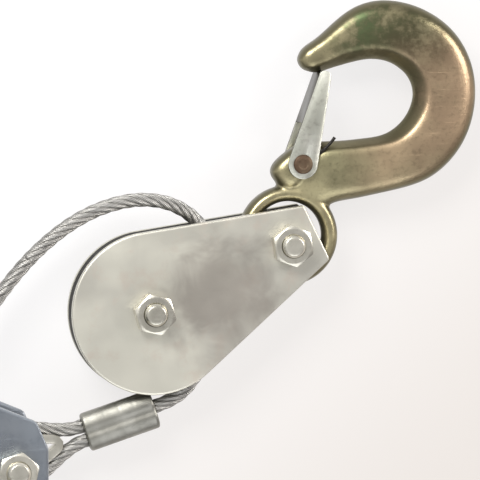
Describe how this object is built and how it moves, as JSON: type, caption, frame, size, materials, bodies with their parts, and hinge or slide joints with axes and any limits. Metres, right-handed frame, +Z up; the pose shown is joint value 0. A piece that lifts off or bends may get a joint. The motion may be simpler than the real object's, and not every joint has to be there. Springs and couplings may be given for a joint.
{
  "type": "come along winch",
  "caption": "Hand lever winch with ratchet drum, wire rope doubled over a pulley block with eye loop and crimped ferrule, and sprung latch hooks.",
  "frame": {"origin": "point of the floor under the drum axle, on the foot head of the axle, the winch lying on its side", "axes": "+Z up along the drum axle, +X from the drum to the nose bolt of the frame, where the rope eye is held"},
  "size_m": [0.5065, 0.2844, 0.0647],
  "materials": {
    "frame_steel": "satin, blue-grey zinc",
    "hook_steel": "forged, yellow zinc with green and pink shimmer",
    "zinc_sheet": "bright zinc sheet",
    "spring_steel": "dark oiled wire",
    "wire_rope": "stranded steel wire",
    "ferrule_alloy": "satin, pressed",
    "grip_rubber": "matt moulded",
    "handle_steel": "zinc",
    "wheel_steel": "satin zinc",
    "fastener_steel": "bright zinc"
  },
  "bodies": {
    "frame": {"frame_plate_lower": "frame_steel", "frame_plate_upper": "frame_steel", "nose_bolt": "fastener_steel", "nose_nut": "fastener_steel", "nose_spacer": "fastener_steel", "tie_bolt": "fastener_steel", "tie_nut": "fastener_steel", "tie_spacer": "fastener_steel", "rear_bolt": "fastener_steel", "rear_nut": "fastener_steel", "anchor_sleeve": "fastener_steel", "anchor_spacers": "fastener_steel", "hold_pawl_bolt": "fastener_steel", "hold_pawl_nut": "fastener_steel", "drum_axle": "fastener_steel", "axle_clip": "fastener_steel", "rope_slack_rear": "wire_rope", "hold_pawl_spring": "spring_steel"},
    "drum": {"drum_barrel": "wheel_steel", "ratchet_wheel_lower": "wheel_steel", "ratchet_wheel_upper": "wheel_steel", "rope_core": "wire_rope", "rope_winding": "wire_rope"},
    "handle": {"yoke_arm_lower": "handle_steel", "yoke_arm_upper": "handle_steel", "handle_tube": "handle_steel", "handle_grip": "grip_rubber", "handle_bolts": "fastener_steel", "handle_nuts": "fastener_steel", "drive_pawl_pin": "fastener_steel", "drive_pawl_spring": "spring_steel"},
    "drive_pawl": {"drive_pawl": "wheel_steel"},
    "hold_pawl": {"hold_pawl": "wheel_steel"},
    "anchor_hook": {"anchor_hook": "hook_steel", "anchor_latch_pin": "fastener_steel", "anchor_latch_spring": "spring_steel"},
    "anchor_latch": {"anchor_latch": "zinc_sheet"},
    "rope_eye": {"thimble": "fastener_steel", "rope_eye_loop": "wire_rope", "ferrule": "ferrule_alloy", "rope_slack_front": "wire_rope", "rope_tail": "wire_rope"},
    "block": {"block_plate_lower": "zinc_sheet", "block_plate_upper": "zinc_sheet", "sheave_bolt": "fastener_steel", "sheave_nut": "fastener_steel", "sheave_bush": "fastener_steel", "hook_bolt": "fastener_steel", "hook_nut": "fastener_steel", "hook_sleeve": "fastener_steel", "rope_on_sheave": "wire_rope"},
    "sheave": {"sheave": "wheel_steel"},
    "load_hook": {"load_hook": "hook_steel", "load_latch_pin": "fastener_steel", "load_latch_spring": "spring_steel"},
    "load_latch": {"load_latch": "zinc_sheet"}
  },
  "joints": [
    {"name": "drum_spin", "type": "hinge", "parent": "frame", "child": "drum", "pos_m": [0, 0, 0.0305], "axis": [0, 0, 1], "range_deg": [0, 5400], "deforming": ["rope_slack_rear"]},
    {"name": "handle_swing", "type": "hinge", "parent": "frame", "child": "handle", "pos_m": [0, 0, 0.0305], "axis": [0, 0, 1], "range_deg": [-60, 0]},
    {"name": "drive_pawl_swing", "type": "hinge", "parent": "handle", "child": "drive_pawl", "pos_m": [-0.0383, 0.03214, 0.0305], "axis": [0, 0, 1], "range_deg": [-13, 0]},
    {"name": "hold_pawl_swing", "type": "hinge", "parent": "frame", "child": "hold_pawl", "pos_m": [0.02709, -0.02805, 0.0305], "axis": [0, 0, 1], "range_deg": [-12, 0]},
    {"name": "anchor_hook_swing", "type": "hinge", "parent": "frame", "child": "anchor_hook", "pos_m": [-0.048, 0, 0.0305], "axis": [0, 0, 1], "range_deg": [-20, 30]},
    {"name": "anchor_latch_swing", "type": "hinge", "parent": "anchor_hook", "child": "anchor_latch", "pos_m": [-0.06716, -0.02134, 0.0305], "axis": [0, 0, 1], "range_deg": [-40, 0], "stiffness_Nm_per_rad": 0.02, "springref_deg": 11.46},
    {"name": "eye_swing", "type": "hinge", "parent": "frame", "child": "rope_eye", "pos_m": [0.074, 0, 0.014], "axis": [0, 0, 1], "range_deg": [-45, 20]},
    {"name": "block_travel", "type": "slide", "parent": "rope_eye", "child": "block", "axis": [0.9011, 0.4337, 0], "range_m": [0, 0.86], "deforming": ["rope_slack_front", "rope_tail"]},
    {"name": "sheave_spin", "type": "hinge", "parent": "block", "child": "sheave", "pos_m": [0.1255, 0.0515, 0.014], "axis": [0, 0, 1], "range_deg": [-2200, 0]},
    {"name": "load_hook_swing", "type": "hinge", "parent": "block", "child": "load_hook", "pos_m": [0.17416, 0.07492, 0.014], "axis": [0, 0, 1], "range_deg": [-90, 30]},
    {"name": "load_latch_swing", "type": "hinge", "parent": "load_hook", "child": "load_latch", "pos_m": [0.1786, 0.10325, 0.014], "axis": [0, 0, 1], "range_deg": [-40, 0], "stiffness_Nm_per_rad": 0.02, "springref_deg": 11.46}
  ],
  "couplings": [
    {"joint": "block_travel", "follows": "drum_spin", "m_per_rad": 0.0091},
    {"joint": "sheave_spin", "follows": "drum_spin", "ratio": -0.404}
  ]
}
